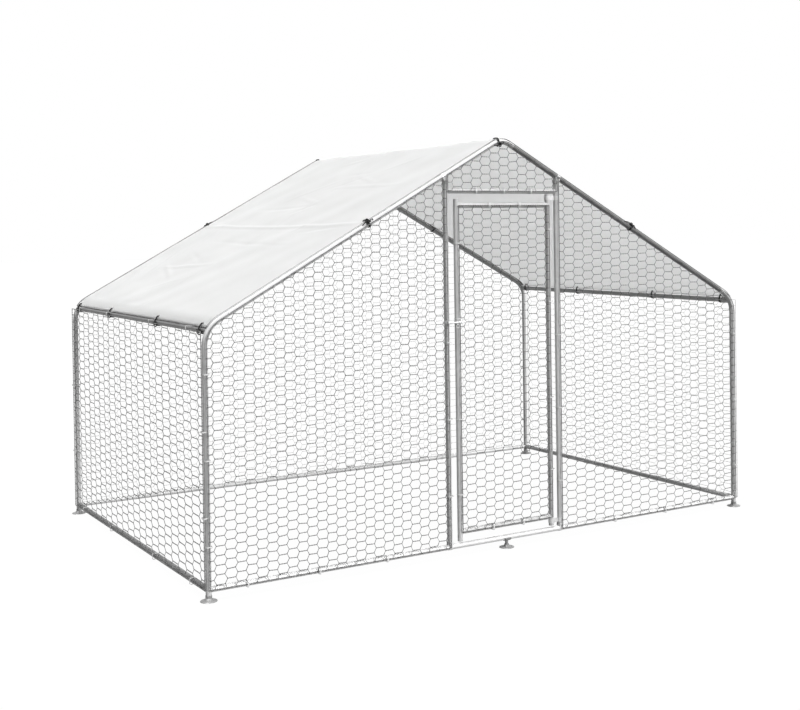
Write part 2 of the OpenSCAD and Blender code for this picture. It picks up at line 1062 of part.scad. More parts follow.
module eyelet() {
    low = -eyelet_lift - eyelet_flange;
    high = cover_t + eyelet_lift;
    rotate_extrude()
        union() {
            for (z = [low, high])
                translate([eyelet_hole_r, z])
                    square([eyelet_r - eyelet_hole_r, eyelet_flange]);
            translate([eyelet_hole_r, low])
                square([eyelet_barrel, high + eyelet_flange - low]);
        }
}

module cover_eyelets() {
    color(galvanised)
        at_eyelets()
            eyelet();
}

// A tie round a tube along X and through the eyelet, with its head and tail on top
module cover_tie() {
    outline = [eyelet_off + tie_t / 2, cover_tie_top + tie_t];
    rotate([90, 0, 90])
        linear_extrude(height = tie_w, center = true)
            difference() {
                cover_tie_loop(cover_tie_r + tie_t, outline);
                cover_tie_loop(cover_tie_r, outline - [tie_t, tie_t]);
            }
    translate([-tie_head.x / 2, -tie_head.z / 2, cover_tie_top + tie_t / 2])
        cube([tie_head.x, tie_head.z, tie_head.y]);
    translate([0, 0, cover_tie_top + tie_t])
        rotate([tie_tail_lean, 0, 0])
            translate([-tie_w / 2, -tie_t / 2, 0])
                cube([tie_w, tie_t, tie_tail]);
}

module cover_tie_loop(r, outline) {
    circle(r = r);
    translate([-r, 0])
        square([r + outline.x, outline.y]);
    translate([0, -r])
        square([outline.x, r]);
}

module cover_ties() {
    color(nylon_black) {
        for (sy = [-1, 1]) {
            for (sx = [-1, 1])
                rafter_tie_frame(sx, sy)
                    cover_tie();
            ridge_tie_frame(sy)
                cover_tie();
        }
        for (sx = [-1, 1], y = rail_tie_places)
            rail_tie_frame(sx, y, 0)
                cover_tie();
    }
}

// Hinges: a strap clamped round the post that runs round the stile
module hinge_strap(low) {
    post_in = tube_r + bolt_seat;
    stile_in = tube_r + run_gap;
    color(zinc_dark)
        translate([0, -half_d, low])
            difference() {
                union() {
                    translate([door_post_x, 0, 0])
                        cylinder(h = hinge_band_w, r = post_in + hinge_band_t);
                    translate([hinge_stile_x, 0, 0])
                        cylinder(h = hinge_band_w, r = stile_in + hinge_band_t);
                    translate([hinge_stile_x, -hinge_web_t / 2, 0])
                        cube([hinge_gap, hinge_web_t, hinge_band_w]);
                }
                translate([door_post_x, 0, 0])
                    bore(hinge_band_w, post_in);
                translate([hinge_stile_x, 0, 0])
                    bore(hinge_band_w, stile_in);
            }
}

module upper_hinge() {
    hinge_strap(upper_hinge_low);
}

module lower_hinge() {
    hinge_strap(lower_hinge_top - hinge_band_w);
}

// Door tubes
module stile(x, top) {
    color(galvanised)
        translate([x, -half_d, stile_low])
            plain_tube(top - stile_low);
}

module door_rail(z) {
    color(galvanised)
        difference() {
            translate([latch_stile_x, -half_d, z])
                rotate([0, 90, 0])
                    plain_tube(hinge_stile_x - latch_stile_x);
            for (x = [latch_stile_x, hinge_stile_x])
                translate([x, -half_d, z])
                    cylinder(h = 2 * tube_d, r = tube_r + butt_gap, center = true);
        }
}

// A band round an upright tube with a guide for the bolt in front of it
module bolt_guide(neck_side) {
    band_in = tube_r + bolt_seat;
    neck_x = neck_side > 0 ? latch_neck[0] : -latch_neck[1];
    difference() {
        union() {
            cylinder(h = latch_band_w, r = band_in + latch_band_t, center = true);
            translate([neck_x, -latch_off, -latch_neck_h / 2])
                cube([latch_neck[1] - latch_neck[0], latch_off, latch_neck_h]);
            translate([0, -latch_off, 0])
                rotate([0, 90, 0])
                    cylinder(h = 2 * guide_half, r = guide_r, center = true);
        }
        cylinder(h = 2 * latch_band_w, r = band_in, center = true);
        translate([0, -latch_off, 0])
            rotate([0, 90, 0])
                cylinder(h = 4 * guide_half, r = guide_bore_r, center = true);
    }
}

module latch_keeper() {
    color(zinc_dark)
        translate([-door_post_x, -half_d, latch_h])
            bolt_guide(1);
}

module latch_barrel() {
    color(zinc_dark)
        translate([latch_stile_x, -half_d, latch_h])
            bolt_guide(-1);
}

// Sliding bolt, drawn back, with the ring that it is moved by
module latch_bolt() {
    tip = -door_post_x + guide_half + bolt_rest_gap;
    end = latch_stile_x + guide_half + bolt_tail;
    ring_x = latch_stile_x - guide_half - ring_from_barrel;
    color(zinc_dark)
        translate([0, -half_d - latch_off, latch_h]) {
            translate([tip, 0, 0])
                rotate([0, 90, 0])
                    cylinder(h = end - tip, r = bolt_rod_r);
            translate([ring_x, 0, -ring_drop + ring_r])
                cylinder(h = ring_drop - ring_r, r = ring_stem_r);
            translate([ring_x, 0, -ring_drop])
                rotate([90, 0, 0])
                    rotate_extrude()
                        translate([ring_r, 0])
                            circle(r = ring_wire_r);
        }
}

post(-1, -1);  // front_left_post
post(1, -1);  // front_right_post
post(-1, 1);  // back_left_post
post(1, 1);  // back_right_post
rafter(-1, -1);  // front_left_rafter
rafter(1, -1);  // front_right_rafter
rafter(-1, 1);  // back_left_rafter
rafter(1, 1);  // back_right_rafter
eave_elbow(-1, -1);  // front_left_eave_elbow
eave_elbow(1, -1);  // front_right_eave_elbow
eave_elbow(-1, 1);  // back_left_eave_elbow
eave_elbow(1, 1);  // back_right_eave_elbow
ridge_elbow(-1);  // front_ridge_elbow
ridge_elbow(1);  // back_ridge_elbow
ridge_tube();
eave_rail(-1);  // left_eave_rail
eave_rail(1);  // right_eave_rail
gable_base_rail(-1);  // front_base_rail
gable_base_rail(1);  // back_base_rail
side_base_rail(-1);  // left_base_rail
side_base_rail(1);  // right_base_rail
base_corner(-1, -1);  // front_left_base_corner
base_corner(1, -1);  // front_right_base_corner
base_corner(-1, 1);  // back_left_base_corner
base_corner(1, 1);  // back_right_base_corner
foot(-1, -1);  // front_left_foot
foot(1, -1);  // front_right_foot
foot(-1, 1);  // back_left_foot
foot(1, 1);  // back_right_foot
threshold_foot();
door_post(-1);  // latch_post
door_post(1);  // hinge_post
transom_rail();
rafter_clamps();
post_saddles();
front_net(-1);  // front_left_net
front_net(1);  // front_right_net
gable_net();
side_net(-1);  // left_net
side_net(1);  // right_net
back_net();
roof_cover();
cover_eyelets();
cover_ties();
net_ties();
frame_bolts();
upper_hinge();
lower_hinge();
latch_keeper();
stile(latch_stile_x, latch_stile_top);  // latch_stile
stile(hinge_stile_x, hinge_stile_top);  // hinge_stile
door_rail(door_top_h);  // door_top_rail
door_rail(door_bottom_h);  // door_bottom_rail
door_net();
door_net_ties();
latch_barrel();
latch_bolt();
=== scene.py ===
"""Looks of a walk-in chicken run: wire netting, roof sheet, finishes, light and camera."""

import json
import math

import bpy
import numpy as np
from mathutils import Matrix, Vector

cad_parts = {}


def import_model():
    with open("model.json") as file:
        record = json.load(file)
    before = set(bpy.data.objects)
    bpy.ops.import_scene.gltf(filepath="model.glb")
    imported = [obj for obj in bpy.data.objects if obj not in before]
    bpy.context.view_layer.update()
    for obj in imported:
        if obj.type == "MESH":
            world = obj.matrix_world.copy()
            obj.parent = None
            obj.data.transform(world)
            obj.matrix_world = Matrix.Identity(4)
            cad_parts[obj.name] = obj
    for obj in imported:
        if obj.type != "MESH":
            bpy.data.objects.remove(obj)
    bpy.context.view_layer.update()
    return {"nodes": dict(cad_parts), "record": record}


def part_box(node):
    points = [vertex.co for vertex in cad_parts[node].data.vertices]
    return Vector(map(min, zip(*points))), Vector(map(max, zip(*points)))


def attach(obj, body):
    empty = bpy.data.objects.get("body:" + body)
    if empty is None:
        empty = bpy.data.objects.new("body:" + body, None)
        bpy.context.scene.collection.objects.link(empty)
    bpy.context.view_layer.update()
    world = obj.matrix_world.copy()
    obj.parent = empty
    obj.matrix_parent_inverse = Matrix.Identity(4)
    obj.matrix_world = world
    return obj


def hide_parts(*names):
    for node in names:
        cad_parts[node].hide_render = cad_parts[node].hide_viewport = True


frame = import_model()
nodes = frame["nodes"]

# Lengths are in metres and angles in radians, apart from those of the lamps and the camera

SEED = 4568

# Bends of the tube frame, as in the CAD model
EAVE_BEND_R = 0.125
RIDGE_BEND_R = 0.090
ARC_STEPS = 10
SLOPE_ROUNDS = 8

# Tubes with a darker zinc as painted shade, or a lighter zinc as painted light
SHADE_PAINTED_TUBES = ("left_eave_rail", "left_base_rail", "front_right_rafter")
LIGHT_PAINTED_TUBES = ("front_base_rail", "back_base_rail", "right_base_rail")

# Netting: width of a mesh in each panel, its height, its wire and its irregularity
MESH_COLUMNS = {
    "front_left_net": 0.047,
    "front_right_net": 0.057,
    "gable_net": 0.051,
    "door_net": 0.052,
    "back_net": 0.050,
    "left_net": 0.090,
    "right_net": 0.090,
}
MESH_ROW = 0.040
SIDE_SHIFT = 0.010
TWIST_SHARE = 0.78
TWIST_TURNS = 1.5
TWIST_STEPS = 6
SINGLE_TURNS = 0.125
SINGLE_STEPS = 1
WIRE_R = 0.0010
FAR_WIRE_R = 0.0004
WIRE_JITTER = 0.0008
SHORTEST_SHARE = 0.02
SELVEDGE_PIECE = 0.04

# Roof sheet
SHEET_T = 0.0005
SHEET_STEP = 0.012
SHEET_ARC_STEPS = 24
SHEET_SAG = 0.012
SHEET_GLOW_DEPTH = 0.007
HEM_W = 0.03
HEM_RISE = 0.0004
CALM_W = 3 * HEM_W
# Widths of the dark strips of painted shade along the front and back edges of the sheet
FRONT_EDGE_SHADE_W = 0.012
BACK_EDGE_SHADE_W = 0.022

# Folds and creases of the sheet, with places and lengths as shares of the sheet, heights of FOLD_H
FOLD_W = 0.016
FOLD_H = 0.004
FOLD_SHARES = (0.25, 0.75)
CREASES = 34
CREASE_AT_SHARES = (0.06, 0.94)
CREASE_ACROSS_SHARE = 0.85
CREASE_HALF_SHARES = (0.08, 0.3)
CREASE_TURN = 0.4
CREASE_HEIGHT_SHARE = 0.7
SWELLS = 10
SWELL_H = 0.0006
SWELL_WAVES = (10, 34)
SWELL_TURN = 0.9
# Long creases: place along the sheet, place and half length across it, turn, height
LONG_CREASES = (
    (0.37, -0.35, 0.45, 0.04, 0.8),
    (0.13, 0.3, 0.35, -0.1, 0.9),
    (0.20, 0.0, 0.6, 0.03, -0.5),
    (0.31, 0.25, 0.4, -0.05, -0.6),
    (0.10, 0.82, 0.14, 1.35, 0.9),
    (0.14, 0.75, 0.18, 1.25, -0.8),
    (0.12, 0.68, 0.16, 1.2, 0.7),
    (0.64, 0.2, 0.4, 0.06, 0.8),
    (0.86, -0.3, 0.4, -0.08, 0.8),
    (0.24, 0.7, 0.8, 1.57, 0.6),
)

# Knotted cords that tie the sheet to the tubes
CORD_R = 0.0024
CORD_SIDES = 8
ANY_DIRECTION = (0.31, 0.52, 0.79)
WELD_DIGITS = 5
LOOP_STOP = 1.6 * math.pi
LOOP_LOW_SHARE = 0.2
LOOP_BACK_SHARE = 0.8
CORNER_CUTS = 2
CUT_SHARE = 0.25
KNOT_SIZE = 0.0043
KNOT_STEPS = 48
KNOT_CORD_SHARE = 1.2
TAIL_STEPS = 8
TAIL_RISE_SHARE = 0.4
TAIL_DROP_SHARE = 0.35
SHORT_TAIL = 0.022
LONG_TAIL = 0.055

# Studio light, where 1 is a white surface lit to full white, and the lamps' spread in degrees
WHITE = (1, 1, 1, 1)
FILL = 0.04
KEY = 0.9
KEY_SPREAD = 25
KEY_FROM = Vector((0.4, -0.77, 0.4)).normalized()
TOP = 1.2
TOP_SPREAD = 30
TOP_FROM = Vector((-0.22, -0.1, 1.0)).normalized()
FLOOR_HALF = 60
FLOOR_SHADE = 0.1
FLOOR_ROUGHNESS = 0.9
FLOOR_GLOW_SHARE = 0.85

# Camera, fitted to the tube corners in an image 800 px wide and 710 px high, turned in degrees
IMAGE_W = 800
IMAGE_H = 710
FOCAL_PX = 1250
PRINCIPAL_PX = (484, 245)
SENSOR_MM = 36
CAMERA_PLACE = (-3.317, -5.944, 1.535)
CAMERA_YAW = 32.94
CAMERA_PITCH = -0.84
CAMERA_ROLL = -0.79


def middle(node):
    """Middle of a CAD node's box."""
    low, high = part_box(node)
    return (low + high) / 2


def tube_slope(node):
    """Angle to the ground of a tube in the XZ plane, from its box less what its width adds."""
    low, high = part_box(node)
    size = high - low
    angle = math.atan2(size.z, size.x)
    for _ in range(SLOPE_ROUNDS):
        angle = math.atan2(size.z - size.y * math.cos(angle), size.x - size.y * math.sin(angle))
    return angle


# Centre lines of the frame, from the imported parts
POST = middle("front_left_post")
RAFTER = middle("front_left_rafter")
SLOPE = tube_slope("front_left_rafter")
TUBE_R = (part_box("ridge_tube")[1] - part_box("ridge_tube")[0]).x / 2
RIDGE_AXIS = middle("ridge_tube").z
EAVE_TURN = math.pi / 2 - SLOPE


def rafter_height(x):
    """Height of the rafter's centre line over a place on the front."""
    return RAFTER.z + (abs(RAFTER.x) - abs(x)) * math.tan(SLOPE)


EAVE_CENTRE = np.array(
    [
        POST.x + EAVE_BEND_R,
        rafter_height(POST.x) - EAVE_BEND_R * math.tan(EAVE_TURN / 2),
    ]
)
RIDGE_CENTRE = np.array([0.0, RIDGE_AXIS - RIDGE_BEND_R])


def arc(centre, radius, start, stop, steps=ARC_STEPS):
    """Points on a bend in the XZ plane, angles counted from +X."""
    a = np.linspace(start, stop, steps + 1)
    return centre + radius * np.stack([np.cos(a), np.sin(a)], 1)


def eave_arc(start, stop, off=0.0, steps=ARC_STEPS):
    """Points on the left eave's bend, off its centre line."""
    return arc(EAVE_CENTRE, EAVE_BEND_R + off, start, stop, steps)


def mirrored(points):
    """The same line on the other side, still turning the same way."""
    return points[::-1] * np.array([-1.0, 1.0])


def new_object(name, verts, faces, material, smooth=True):
    mesh = bpy.data.meshes.new(name)
    mesh.from_pydata(verts, [], faces)
    mesh.polygons.foreach_set("use_smooth", np.full(len(mesh.polygons), smooth))
    mesh.materials.append(material)
    mesh.update()
    piece = bpy.data.objects.new(name, mesh)
    bpy.context.scene.collection.objects.link(piece)
    return piece


# Materials


class Nodes:
    """Short calls for building one material's node tree."""

    def __init__(self, name):
        self.material = bpy.data.materials.new(name)
        self.material.use_nodes = True
        self.tree = self.material.node_tree
        self.shader = self.tree.nodes["Principled BSDF"]
        self.place = self.add("ShaderNodeTexCoord").outputs["Object"]

    def add(self, kind, **settings):
        node = self.tree.nodes.new(kind)
        for key, value in settings.items():
            setattr(node, key, value)
        return node

    def link(self, source, target):
        self.tree.links.new(source, target)

    def set(self, **values):
        for key, value in values.items():
            self.shader.inputs[key.replace("_", " ")].default_value = value

    def noise(self, scale, detail=4.0, roughness=0.55):
        node = self.add("ShaderNodeTexNoise")
        node.inputs["Scale"].default_value = scale
        node.inputs["Detail"].default_value = detail
        node.inputs["Roughness"].default_value = roughness
        self.link(self.place, node.inputs["Vector"])
        return node.outputs["Fac"]

    def cells(self, scale):
        node = self.add("ShaderNodeTexVoronoi")
        node.inputs["Scale"].default_value = scale
        self.link(self.place, node.inputs["Vector"])
        return node.outputs["Color"]

    def bands(self, direction, scale):
        node = self.add("ShaderNodeTexWave", wave_type="BANDS", bands_direction=direction)
        node.inputs["Scale"].default_value = scale
        self.link(self.place, node.inputs["Vector"])
        return node.outputs["Color"]

    def ramp(self, source, start, stop):
        """Colours from one stop to another, each a position and a colour."""
        node = self.add("ShaderNodeValToRGB")
        for element, (position, colour) in zip(node.color_ramp.elements, (start, stop), strict=True):
            element.position = position
            element.color = (*colour, 1.0)
        self.link(source, node.inputs["Fac"])
        return node.outputs["Color"]

    def spread(self, source, low, high):
        node = self.add("ShaderNodeMapRange")
        node.inputs["To Min"].default_value = low
        node.inputs["To Max"].default_value = high
        self.link(source, node.inputs["Value"])
        return node.outputs["Result"]

    def mix(self, a, b, factor):
        node = self.add("ShaderNodeMix", data_type="RGBA")
        node.inputs["Factor"].default_value = factor
        self.link(a, node.inputs["A"])
        self.link(b, node.inputs["B"])
        return node.outputs["Result"]

    def bump(self, source, strength, distance):
        node = self.add("ShaderNodeBump")
        node.inputs["Strength"].default_value = strength
        node.inputs["Distance"].default_value = distance
        self.link(source, node.inputs["Height"])
        self.link(node.outputs["Normal"], self.shader.inputs["Normal"])

    def colour(self, source):
        self.link(source, self.shader.inputs["Base Color"])

    def roughness(self, source):
        self.link(source, self.shader.inputs["Roughness"])


def grey(value):
    return (value, value, value)


def zinc(name, dark, light, metallic, rough, specular=0.5):
    """Zinc on steel: spangles of slightly different greys, cloudy patches and fine scratches."""
    m = Nodes(name)
    spangle = m.ramp(m.cells(scale=55.0), (0.0, grey(dark)), (1.0, grey(light)))
    cloud = m.ramp(m.noise(scale=9.0, detail=6.0), (0.3, grey(dark)), (0.7, grey(light)))
    m.colour(m.mix(spangle, cloud, factor=0.6))
    m.roughness(m.spread(m.noise(scale=40.0, detail=5.0), low=rough - 0.08, high=rough + 0.1))
    m.set(Metallic=metallic, Specular_IOR_Level=specular)
    m.bump(m.noise(scale=260.0, detail=3.0), strength=0.08, distance=0.0004)
    return m.material


def wire_material():
    """Weathered wire, darker than the tubes."""
    m = Nodes("net_wire")
    m.colour(m.ramp(m.noise(scale=18.0, detail=3.0), (0.25, grey(0.1)), (0.75, grey(0.2))))
    m.roughness(m.spread(m.noise(scale=90.0), low=0.38, high=0.6))
    m.set(Metallic=0.4)
    return m.material


def sheet_material():
    """Woven polyethylene tape under a clear film."""
    m = Nodes("cover_sheet")
    dull, clean = (0.86, 0.875, 0.86), (0.9, 0.91, 0.9)
    m.colour(m.ramp(m.noise(scale=5.0, detail=5.0), (0.2, dull), (0.8, clean)))
    weave = m.mix(m.bands("X", scale=100.0), m.bands("Y", scale=100.0), factor=0.5)
    m.bump(weave, strength=0.12, distance=0.0004)
    m.roughness(m.spread(m.noise(scale=12.0), low=0.5, high=0.64))
    m.set(Specular_IOR_Level=0.1, Subsurface_Weight=0.8)
    m.set(Subsurface_Radius=(1.0, 1.0, 1.0), Subsurface_Scale=SHEET_GLOW_DEPTH)
    return m.material


def edge_shade_material(name, dark, light):
    """Painted shade: a dark strip along a gable edge of the sheet, in place of the shadow line where the
    edge meets a rafter.
    """
    m = Nodes(name)
    m.colour(m.ramp(m.noise(scale=30.0), (0.25, grey(dark)), (0.75, grey(light))))
    m.roughness(m.spread(m.noise(scale=40.0), low=0.45, high=0.6))
    m.bump(m.noise(scale=400.0, detail=2.0), strength=0.15, distance=0.0003)
    return m.material


def nylon_material(name, dark, light, rough, specular=0.5):
    """Plastic of cords and ties, with a fine grain."""
    m = Nodes(name)
    m.set(Specular_IOR_Level=specular)
    m.colour(m.ramp(m.noise(scale=60.0), (0.3, grey(dark)), (0.7, grey(light))))
    m.roughness(m.spread(m.noise(scale=120.0), low=rough - 0.06, high=rough + 0.1))
    m.bump(m.noise(scale=900.0, detail=2.0), strength=0.1, distance=0.0002)
    return m.material


def tube_zinc(name, dark, light, rough):
    """The matt zinc that all tubes have."""
    return zinc(name, dark, light, metallic=0.08, rough=rough, specular=0.2)


finishes = {
    "galvanised_tube": tube_zinc("galvanised_tube", dark=0.54, light=0.7, rough=0.46),
    "zinc_fitting": zinc("zinc_fitting", dark=0.62, light=0.82, metallic=0.3, rough=0.3),
    "bolt": zinc("bolt", dark=0.4, light=0.56, metallic=0.7, rough=0.3),
    "foot": zinc("foot", dark=0.2, light=0.36, metallic=0.2, rough=0.36),
    "eyelet": zinc("eyelet", dark=0.6, light=0.75, metallic=0.8, rough=0.3),
    "net_wire": wire_material(),
    "cover_sheet": sheet_material(),
    "black_nylon": nylon_material("black_nylon", dark=0.004, light=0.012, rough=0.5, specular=0.25),
    "white_nylon": nylon_material("white_nylon", dark=0.72, light=0.82, rough=0.4),
}

for part in frame["record"]["subparts"]:
    piece = nodes[part["node"]]
    piece.data.materials.clear()
    piece.data.materials.append(finishes[part["material_slot"]])

# Painted shade and painted light: darker and lighter copies of the tube zinc on some tubes
shade_painted_tube = tube_zinc("shade_painted_tube", dark=0.2, light=0.32, rough=0.5)
light_painted_tube = tube_zinc("light_painted_tube", dark=0.74, light=0.88, rough=0.42)
for names, finish in ((SHADE_PAINTED_TUBES, shade_painted_tube), (LIGHT_PAINTED_TUBES, light_painted_tube)):
    for name in names:
        nodes[name].data.materials[0] = finish


# Netting

rng = np.random.default_rng(SEED)


def clipped(p, q, outline):
    """The stretches of segments p to q that lie in a convex outline that turns left."""
    low, high = np.zeros(len(p)), np.ones(len(p))
    d = q - p
    for a, b in zip(outline, np.roll(outline, -1, axis=0), strict=True):
        edge = b - a
        inward = np.array([-edge[1], edge[0]])
        start = (p - a) @ inward
        rate = d @ inward
        with np.errstate(divide="ignore", invalid="ignore"):
            cut = np.where(rate != 0, -start / rate, 0.0)
        low = np.where(rate > 0, np.maximum(low, cut), low)
        high = np.where(rate < 0, np.minimum(high, cut), high)
        high = np.where((rate == 0) & (start < 0), -1.0, high)
    keep = high - low > SHORTEST_SHARE
    p, d, low, high = p[keep], d[keep], low[keep, None], high[keep, None]
    return p + d * low, p + d * high


def wires(p, q, wide, thick, turns, steps):
    """Bars from p to q in a panel's plane, of a flat section that turns on its way."""
    count = len(p)
    along = np.linspace(0, 1, steps + 1)
    axis = (q - p) / np.linalg.norm(q - p, axis=1)[:, None]
    across = np.stack([-axis[:, 1], axis[:, 0], np.zeros(count)], 1)
    normal = np.array([0.0, 0.0, 1.0])
    centre = p[:, None, :] + (q - p)[:, None, :] * along[None, :, None]
    centre = np.concatenate([centre, np.zeros((*centre.shape[:2], 1))], 2)
    turn = 2 * math.pi * turns * along
    corners = []
    for i, j in ((1, 1), (-1, 1), (-1, -1), (1, -1)):
        a = i * wide * np.cos(turn) - j * thick * np.sin(turn)
        b = i * wide * np.sin(turn) + j * thick * np.cos(turn)
        corners.append(centre + a[None, :, None] * across[:, None, :] + b[None, :, None] * normal)
    verts = np.stack(corners, 2).reshape(-1, 3)
    ring = np.arange(4)
    near = np.stack([ring, np.roll(ring, -1), np.roll(ring, -1) + 4, ring + 4], 1)
    bar = np.concatenate([near + 4 * k for k in range(steps)] + [[[3, 2, 1, 0]], [ring + 4 * steps]])
    faces = bar[None] + (np.arange(count) * 4 * (steps + 1))[:, None, None]
    return verts, faces.reshape(-1, 4)


def hexagon_sides(outline, pitch):
    """Twisted sides and single sides of flat-topped hexagons that cover an outline and a little more."""
    low, high = outline.min(0), outline.max(0)
    columns = max(2, round((high[0] - low[0]) / pitch))
    rows = max(2, round((high[1] - low[1]) / MESH_ROW))
    col = (high[0] - low[0]) / columns
    i, k = np.meshgrid(np.arange(-1, columns + 2), np.arange(-2, rows + 4), indexing="ij")
    mid = np.stack([low[0] + i * col, low[1] + (k + (i % 2) / 2) * MESH_ROW], -1)
    half = np.array([col * TWIST_SHARE / 2, 0.0])
    left = mid - half + rng.normal(0, WIRE_JITTER, mid.shape)
    right = mid + half + rng.normal(0, WIRE_JITTER, mid.shape)
    odd = i[:-1] % 2
    columns_at = np.arange(left.shape[0] - 1)[:, None]
    rows_at = np.arange(left.shape[1])[None, :]
    above = np.clip(rows_at + odd, 0, left.shape[1] - 1)
    below = np.clip(rows_at + odd - 1, 0, left.shape[1] - 1)
    ends = [left[columns_at + 1, above], left[columns_at + 1, below]]
    single_p = np.concatenate([right[:-1].reshape(-1, 2)] * 2)
    single_q = np.concatenate([e.reshape(-1, 2) for e in ends])
    near = np.linalg.norm(single_q - single_p, axis=1) < MESH_ROW
    return (left.reshape(-1, 2), right.reshape(-1, 2)), (single_p[near], single_q[near])


def selvedge(outline):
    """Short straight pieces round an outline."""
    p = []
    for a, b in zip(outline, np.roll(outline, -1, axis=0), strict=True):
        steps = max(1, round(np.linalg.norm(b - a) / SELVEDGE_PIECE))
        p.append(a + (b - a) * np.linspace(0, 1, steps, endpoint=False)[:, None])
    p = np.concatenate(p)
    return p, np.roll(p, -1, axis=0)


def net(name, body, outline, to_world, wire_r=WIRE_R):
    """A panel of hexagonal netting that replaces the CAD panel of the same name."""
    twisted, single = hexagon_sides(outline, MESH_COLUMNS[name])
    # A twisted pair is two wires wide and one thick
    groups = [
        wires(*clipped(*twisted, outline), 2 * wire_r, wire_r, TWIST_TURNS, TWIST_STEPS),
        wires(*clipped(*single, outline), wire_r, wire_r, SINGLE_TURNS, SINGLE_STEPS),
        wires(*selvedge(outline), 2 * wire_r, wire_r, TWIST_TURNS, TWIST_STEPS),
    ]
    verts, faces, start = [], [], 0
    for v, f in groups:
        verts.append(v)
        faces.append(f + start)
        start += len(v)
    place = to_world(np.concatenate(verts))
    piece = new_object(name + "_wire", place, np.concatenate(faces).tolist(), finishes["net_wire"])
    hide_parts(name)
    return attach(piece, body)


def on_front(node):
    """From a panel's plane to the world, for a panel in the XZ plane."""
    y = middle(node).y
    return lambda v: np.stack([v[:, 0], y - v[:, 2], v[:, 1]], 1)


def on_side(node):
    """From a panel's plane to the world, for a panel in the YZ plane."""
    x = middle(node).x
    return lambda v: np.stack([x + v[:, 2], v[:, 0], v[:, 1]], 1)


def net_box(node, axis):
    """Lowest and highest corner of a panel in its own plane, which holds an axis and the height."""
    low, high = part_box(node)
    return (low[axis], low.z), (high[axis], high.z)


def rectangle(low, high):
    return np.array([low, (high[0], low[1]), high, (low[0], high[1])])


def side_outline(node):
    """A side panel's outline, drawn forward a little so that it ends over the posts."""
    low, high = net_box(node, 1)
    return rectangle((low[0] - SIDE_SHIFT, low[1]), (high[0] - SIDE_SHIFT, high[1]))


eave_bend = eave_arc(math.pi - EAVE_TURN, math.pi)
ridge_bend = arc(RIDGE_CENTRE, RIDGE_BEND_R, math.pi / 2 - SLOPE, math.pi / 2 + SLOPE)


def front_outline():
    """The front left panel: along the base rail, up the door post, down the rafter and the eave's bend."""
    low, high = net_box("front_left_net", 0)
    upright = [low, (high[0], low[1]), (high[0], rafter_height(high[0]))]
    return np.concatenate([upright, eave_bend])


def gable_outline():
    """The panel over the door, up to both rafters and the ridge's bend."""
    low, high = net_box("gable_net", 0)
    right = [low, (high[0], low[1]), (high[0], rafter_height(high[0]))]
    left = [(low[0], rafter_height(low[0]))]
    return np.concatenate([right, ridge_bend, left])


def back_outline():
    """The whole back, round the bends of both eaves and of the ridge."""
    low, high = net_box("back_net", 0)
    base = [low, (high[0], low[1])]
    return np.concatenate([base, mirrored(eave_bend), ridge_bend, eave_bend])


net("front_left_net", "frame", front_outline(), on_front("front_left_net"))
net("front_right_net", "frame", mirrored(front_outline()), on_front("front_right_net"))
net("gable_net", "frame", gable_outline(), on_front("gable_net"))
net("back_net", "frame", back_outline(), on_front("back_net"), FAR_WIRE_R)
for side, wire_r in (("left_net", WIRE_R), ("right_net", FAR_WIRE_R)):
    net(side, "frame", side_outline(side), on_side(side), wire_r)
net("door_net", "door", rectangle(*net_box("door_net", 0)), on_front("door_net"))


# Roof sheet


def sheet_path(off):
    """Points and outward directions along the sheet from the left eave to the right, evenly spaced."""
    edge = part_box("roof_cover")[0].x - EAVE_CENTRE[0]
    reach = EAVE_BEND_R + off
    start = math.acos(edge / reach) if edge > -reach else math.pi
    eave = eave_arc(start, math.pi - EAVE_TURN, off, SHEET_ARC_STEPS)
    ridge_ends = (math.pi / 2 + SLOPE, math.pi / 2 - SLOPE)
    ridge = arc(RIDGE_CENTRE, RIDGE_BEND_R + off, *ridge_ends, SHEET_ARC_STEPS)
    path = np.concatenate([eave, ridge, mirrored(eave)])
    run = np.concatenate([[0], np.cumsum(np.linalg.norm(np.diff(path, axis=0), axis=1))])
    count = round(run[-1] / SHEET_STEP)
    s = np.linspace(0, run[-1], count + 1)
    line = np.stack([np.interp(s, run, path[:, 0]), np.interp(s, run, path[:, 1])], 1)
    ahead = np.gradient(line, axis=0)
    ahead /= np.linalg.norm(ahead, axis=1)[:, None]
    return s, line, np.stack([-ahead[:, 1], ahead[:, 0]], 1)


def tent(distance, width):
    """1 at no distance, falling evenly to 0 at a width."""
    return np.clip(1 - np.abs(distance) / width, 0, 1)


def random_creases():
    """Short creases all over the sheet, as rows like those of LONG_CREASES."""
    creases = []
    for _ in range(CREASES):
        at = rng.uniform(*CREASE_AT_SHARES)
        across_at = rng.uniform(-CREASE_ACROSS_SHARE, CREASE_ACROSS_SHARE)
        half = rng.uniform(*CREASE_HALF_SHARES)
        turn = rng.normal(0, CREASE_TURN)
        height = rng.uniform(-CREASE_HEIGHT_SHARE, CREASE_HEIGHT_SHARE)
        creases.append((at, across_at, half, turn, height))
    return creases


